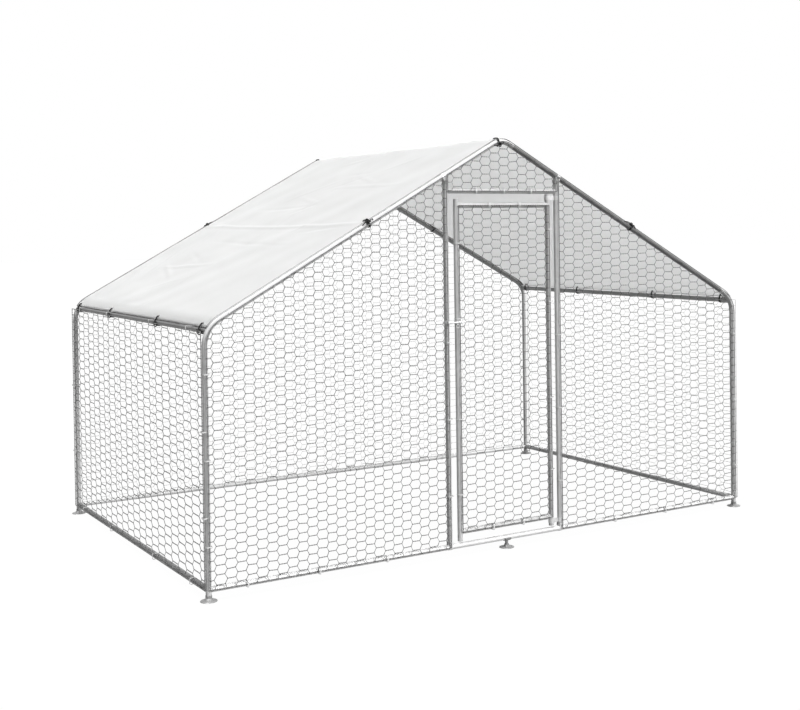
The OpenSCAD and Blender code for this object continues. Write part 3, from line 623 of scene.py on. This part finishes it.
def sheet_lift(a, b, low, high):
    """Height of the sheet over its path, at places a along it and b across it."""
    total = a.max()
    slope_share = np.abs(np.sin(2 * math.pi * a / total))
    depth_share = np.sin(math.pi * (b - low.y) / (high.y - low.y))
    lift = -SHEET_SAG * slope_share * depth_share
    inner = np.minimum(np.minimum(a, total - a), np.minimum(b - low.y, high.y - b))
    calm = np.clip(inner / CALM_W, 0, 1)
    for share in FOLD_SHARES:
        lift += FOLD_H * tent(a - share * total, FOLD_W) * calm
    lift -= FOLD_H / 2 * tent(b, FOLD_W) * calm
    for at, across_at, half, turn, height in [*LONG_CREASES, *random_creases()]:
        da, db = a - at * total, b - across_at * high.y
        along = db * math.cos(turn) + da * math.sin(turn)
        across = da * math.cos(turn) - db * math.sin(turn)
        lift += height * FOLD_H * tent(across, FOLD_W) * tent(along, half * high.y) * calm
    for _ in range(SWELLS):
        wave = rng.uniform(*SWELL_WAVES)
        turn = rng.uniform(-SWELL_TURN, SWELL_TURN)
        phase = rng.uniform(0, 2 * math.pi)
        swell = np.sin(wave * (a * math.cos(turn) + b * math.sin(turn)) + phase)
        lift += SWELL_H * swell * calm
    return lift + HEM_RISE * (inner < HEM_W)


def roof_sheet():
    """The creased sheet, with a dark strip of painted shade along each gable edge."""
    low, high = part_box("roof_cover")
    s, line, out = sheet_path(high.z - RIDGE_AXIS - SHEET_T)
    middle_rows = round((high.y - low.y) / SHEET_STEP)
    y = np.linspace(low.y + FRONT_EDGE_SHADE_W, high.y - BACK_EDGE_SHADE_W, middle_rows + 1)
    y = np.concatenate([[low.y], y, [high.y]])
    a, b = np.meshgrid(s, y, indexing="ij")
    lift = sheet_lift(a, b, low, high)
    x = line[:, 0, None] + out[:, 0, None] * lift
    z = line[:, 1, None] + out[:, 1, None] * lift
    verts = np.stack([x, b, z], -1).reshape(-1, 3)
    wide = len(y)
    corner = (np.arange(len(s) - 1)[:, None] * wide + np.arange(wide - 1)[None, :]).reshape(-1)
    faces = np.stack([corner, corner + wide, corner + wide + 1, corner + 1], 1)[:, ::-1]
    piece = new_object("cover_sheet", verts, faces.tolist(), finishes["cover_sheet"])
    # Dark strips of painted shade along the front and back edges
    piece.data.materials.append(edge_shade_material("front_edge_shade", dark=0.26, light=0.4))
    piece.data.materials.append(edge_shade_material("back_edge_shade", dark=0.05, light=0.12))
    strips = np.zeros(wide - 1, np.int32)
    strips[0], strips[-1] = 1, 2
    piece.data.polygons.foreach_set("material_index", np.tile(strips, len(s) - 1))
    thick = piece.modifiers.new("thickness", "SOLIDIFY")
    thick.thickness = SHEET_T
    thick.offset = 0
    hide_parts("roof_cover")
    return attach(piece, "frame")


roof_sheet()


# Ties of the roof sheet


def swept(line, radius, closed):
    """A round tube along a line of points, as verts and faces."""
    count = len(line)
    ahead = np.roll(line, -1, 0) - np.roll(line, 1, 0) if closed else np.gradient(line, axis=0)
    ahead /= np.linalg.norm(ahead, axis=1)[:, None]
    # Any start across the cord will do, and it is carried along without a twist
    side = np.cross(ahead[0], ANY_DIRECTION)
    sides = []
    for direction in ahead:
        side = side - direction * (side @ direction)
        side /= np.linalg.norm(side)
        sides.append(side)
    sides = np.array(sides)
    upright = np.cross(ahead, sides)
    a = np.arange(CORD_SIDES) * 2 * math.pi / CORD_SIDES
    ring = np.cos(a)[None, :, None] * sides[:, None] + np.sin(a)[None, :, None] * upright[:, None]
    verts = (line[:, None] + radius * ring).reshape(-1, 3)
    faces = []
    for k in range(count if closed else count - 1):
        here, there = k * CORD_SIDES, (k + 1) % count * CORD_SIDES
        for i in range(CORD_SIDES):
            j = (i + 1) % CORD_SIDES
            faces.append([here + i, here + j, there + j, there + i])
    if not closed:
        faces.append(list(range(CORD_SIDES))[::-1])
        faces.append([(count - 1) * CORD_SIDES + i for i in range(CORD_SIDES)])
    return verts, faces


def islands(node):
    """The separate solids of a CAD node, each as an array of points."""
    mesh = nodes[node].data
    parent = list(range(len(mesh.vertices)))

    def root(i):
        while parent[i] != i:
            parent[i] = parent[parent[i]]
            i = parent[i]
        return i

    seen_at = {}
    for i, vertex in enumerate(mesh.vertices):
        key = tuple(round(c, WELD_DIGITS) for c in vertex.co)
        parent[i] = seen_at.setdefault(key, i)
    for edge in mesh.edges:
        a, b = edge.vertices
        parent[root(a)] = root(b)
    groups = {}
    for i, vertex in enumerate(mesh.vertices):
        groups.setdefault(root(i), []).append(vertex.co[:])
    return [np.array(g) for g in groups.values()]


def tie_frame(points):
    """Place of one tie on its tube's centre line, and the ways along the tube, to the eyelet and up."""
    c = (points.min(0) + points.max(0)) / 2
    sx, sy = np.sign(c[0]), np.sign(c[1])
    inward = np.array([0.0, -sy, 0.0])
    if abs(c[0]) > abs(POST.x) - EAVE_BEND_R:
        tilt = SLOPE + EAVE_TURN / 2
        up = np.array([sx * math.sin(tilt), 0.0, math.cos(tilt)])
        uphill = np.array([-sx * math.cos(tilt), 0.0, math.sin(tilt)])
        place = np.array([-sx * EAVE_CENTRE[0], c[1], EAVE_CENTRE[1]]) + EAVE_BEND_R * up
        return place, np.array([0.0, 1.0, 0.0]), uphill, up
    if abs(c[0]) < RIDGE_BEND_R:
        turn = math.atan2(c[0], c[2] - RIDGE_CENTRE[1])
        up = np.array([math.sin(turn), 0.0, math.cos(turn)])
        place = np.array([0.0, sy * abs(POST.y), RIDGE_CENTRE[1]]) + RIDGE_BEND_R * up
        return place, np.array([math.cos(turn), 0.0, -math.sin(turn)]), inward, up
    along = np.array([-sx * math.cos(SLOPE), 0.0, math.sin(SLOPE)])
    up = np.array([sx * math.sin(SLOPE), 0.0, math.cos(SLOPE)])
    start = np.array([sx * abs(RAFTER.x), sy * abs(POST.y), RAFTER.z])
    return start + along * (along @ (c - start)), along, inward, up


def tie_loop(eyelet, sheet_top):
    """Way of a cord under a tube, up through an eyelet and back over the sheet, to the eyelet and up."""
    reach = TUBE_R + CORD_R
    top = sheet_top + 2 * CORD_R
    under = arc(np.zeros(2), reach, math.pi, LOOP_STOP)
    over = [
        (eyelet, LOOP_LOW_SHARE * reach),
        (eyelet, top),
        (0, top),
        (-LOOP_BACK_SHARE * reach, LOOP_BACK_SHARE * top),
    ]
    loop = np.concatenate([under, over])
    for _ in range(CORNER_CUTS):
        after = np.roll(loop, -1, 0)
        first = (1 - CUT_SHARE) * loop + CUT_SHARE * after
        second = CUT_SHARE * loop + (1 - CUT_SHARE) * after
        loop = np.stack([first, second], 1).reshape(-1, 2)
    return loop


def tie_parts(points, sheet_top, tails):
    """Two turns of cord round a tube and through an eyelet, a knot and two tails."""
    place, along, inward, up = tie_frame(points)
    loop = tie_loop(((points - place) @ inward).max(), sheet_top)
    parts = []
    for shift in (-CORD_R, CORD_R):
        line = place + loop[:, :1] * inward + loop[:, 1:] * up + shift * along
        parts.append(swept(line, CORD_R, True))
    out = (-up if abs(place[0]) < RIDGE_BEND_R else up) - inward
    out /= np.linalg.norm(out)
    cross = np.cross(along, out)
    centre = place + (TUBE_R + CORD_R + KNOT_SIZE) * out
    t = np.linspace(0, 2 * math.pi, KNOT_STEPS, endpoint=False)[:, None]
    flat = (np.sin(t) + 2 * np.sin(2 * t)) * along + (np.cos(t) - 2 * np.cos(2 * t)) * cross
    trefoil = centre + KNOT_SIZE * (flat - np.sin(3 * t) * out)
    parts.append(swept(trefoil, KNOT_CORD_SHARE * CORD_R, True))
    s = np.linspace(0, 1, TAIL_STEPS + 1)[:, None]
    bow = TAIL_RISE_SHARE * s * (1 - s) * out - TAIL_DROP_SHARE * s**2 * out
    for sign, length in zip((-1, 1), tails, strict=True):
        start = centre + 2 * KNOT_SIZE * sign * along
        line = start + length * (s * sign * along + bow)
        parts.append(swept(line, CORD_R, False))
    return parts


def cover_ties():
    """All ties of the sheet as one piece, every other one with a long tail."""
    sheet_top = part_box("roof_cover")[1].z - RIDGE_AXIS
    verts, faces, start = [], [], 0
    for k, points in enumerate(islands("cover_ties")):
        tails = (SHORT_TAIL, LONG_TAIL) if k % 2 else (SHORT_TAIL, SHORT_TAIL)
        for v, f in tie_parts(points, sheet_top, tails):
            verts.append(v)
            faces += [[i + start for i in face] for face in f]
            start += len(v)
    piece = new_object("cover_tie_cords", np.concatenate(verts), faces, finishes["black_nylon"])
    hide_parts("cover_ties")
    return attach(piece, "frame")


cover_ties()


# Stage, light and camera


def seen(tree):
    """1 for a ray that shows the background: from the camera, in a reflection or through glass."""
    path = tree.nodes.new("ShaderNodeLightPath")
    first = tree.nodes.new("ShaderNodeMath")
    second = tree.nodes.new("ShaderNodeMath")
    first.operation = second.operation = "MAXIMUM"
    tree.links.new(path.outputs["Is Camera Ray"], first.inputs[0])
    tree.links.new(path.outputs["Is Glossy Ray"], first.inputs[1])
    tree.links.new(first.outputs[0], second.inputs[0])
    tree.links.new(path.outputs["Is Transmission Ray"], second.inputs[1])
    return second.outputs[0]


def floor():
    """A floor that glows white where it is seen and darkens only in the shadow."""
    half = FLOOR_HALF
    verts = [(-half, -half, 0), (half, -half, 0), (half, half, 0), (-half, half, 0)]
    material = bpy.data.materials.new("floor")
    material.use_nodes = True
    tree = material.node_tree
    shade = tree.nodes["Principled BSDF"]
    shade.inputs["Base Color"].default_value = (FLOOR_SHADE, FLOOR_SHADE, FLOOR_SHADE, 1)
    shade.inputs["Roughness"].default_value = FLOOR_ROUGHNESS
    glow = tree.nodes.new("ShaderNodeEmission")
    lit = FLOOR_SHADE * (FILL + TOP * TOP_FROM.z + KEY * KEY_FROM.z)
    glow.inputs["Strength"].default_value = (1 - (1 - FLOOR_GLOW_SHARE) * lit) / FLOOR_GLOW_SHARE
    mix = tree.nodes.new("ShaderNodeMixShader")
    share = tree.nodes.new("ShaderNodeMath")
    share.operation = "MULTIPLY"
    share.inputs[1].default_value = FLOOR_GLOW_SHARE
    tree.links.new(seen(tree), share.inputs[0])
    tree.links.new(share.outputs[0], mix.inputs["Fac"])
    tree.links.new(shade.outputs[0], mix.inputs[1])
    tree.links.new(glow.outputs[0], mix.inputs[2])
    tree.links.new(mix.outputs[0], tree.nodes["Material Output"].inputs["Surface"])
    ground = new_object("floor", verts, [(0, 1, 2, 3)], material, False)


def world():
    """A faint fill from all round, in front of a white background."""
    sky = bpy.data.worlds.new("studio")
    bpy.context.scene.world = sky
    sky.use_nodes = True
    tree = sky.node_tree
    fill = tree.nodes["Background"]
    fill.inputs["Color"].default_value = WHITE
    fill.inputs["Strength"].default_value = FILL
    white = tree.nodes.new("ShaderNodeBackground")
    white.inputs["Color"].default_value = WHITE
    mix = tree.nodes.new("ShaderNodeMixShader")
    tree.links.new(seen(tree), mix.inputs["Fac"])
    tree.links.new(fill.outputs[0], mix.inputs[1])
    tree.links.new(white.outputs[0], mix.inputs[2])
    tree.links.new(mix.outputs[0], tree.nodes["World Output"].inputs["Surface"])


def lamp(name, towards, spread, share):
    """A wide far lamp. A share of 1 lights a white surface that faces it to full white."""
    light = bpy.data.lights.new(name, "SUN")
    light.angle = math.radians(spread)
    light.energy = share * math.pi
    piece = bpy.data.objects.new(name, light)
    piece.rotation_euler = towards.to_track_quat("Z", "Y").to_euler()
    bpy.context.scene.collection.objects.link(piece)


def camera():
    data = bpy.data.cameras.new("camera")
    data.sensor_width = SENSOR_MM
    data.lens = FOCAL_PX / IMAGE_W * SENSOR_MM
    data.shift_x = (IMAGE_W / 2 - PRINCIPAL_PX[0]) / IMAGE_W
    data.shift_y = (PRINCIPAL_PX[1] - IMAGE_H / 2) / IMAGE_W
    piece = bpy.data.objects.new("camera", data)
    turn = (
        Matrix.Rotation(math.radians(-CAMERA_YAW), 4, "Z")
        @ Matrix.Rotation(math.radians(90 + CAMERA_PITCH), 4, "X")
        @ Matrix.Rotation(math.radians(CAMERA_ROLL), 4, "Z")
    )
    piece.matrix_world = Matrix.Translation(CAMERA_PLACE) @ turn
    bpy.context.scene.collection.objects.link(piece)
    bpy.context.scene.camera = piece


floor()
world()
lamp("key", KEY_FROM, KEY_SPREAD, KEY)
lamp("top", TOP_FROM, TOP_SPREAD, TOP)
camera()
bpy.context.scene.view_settings.view_transform = "Standard"
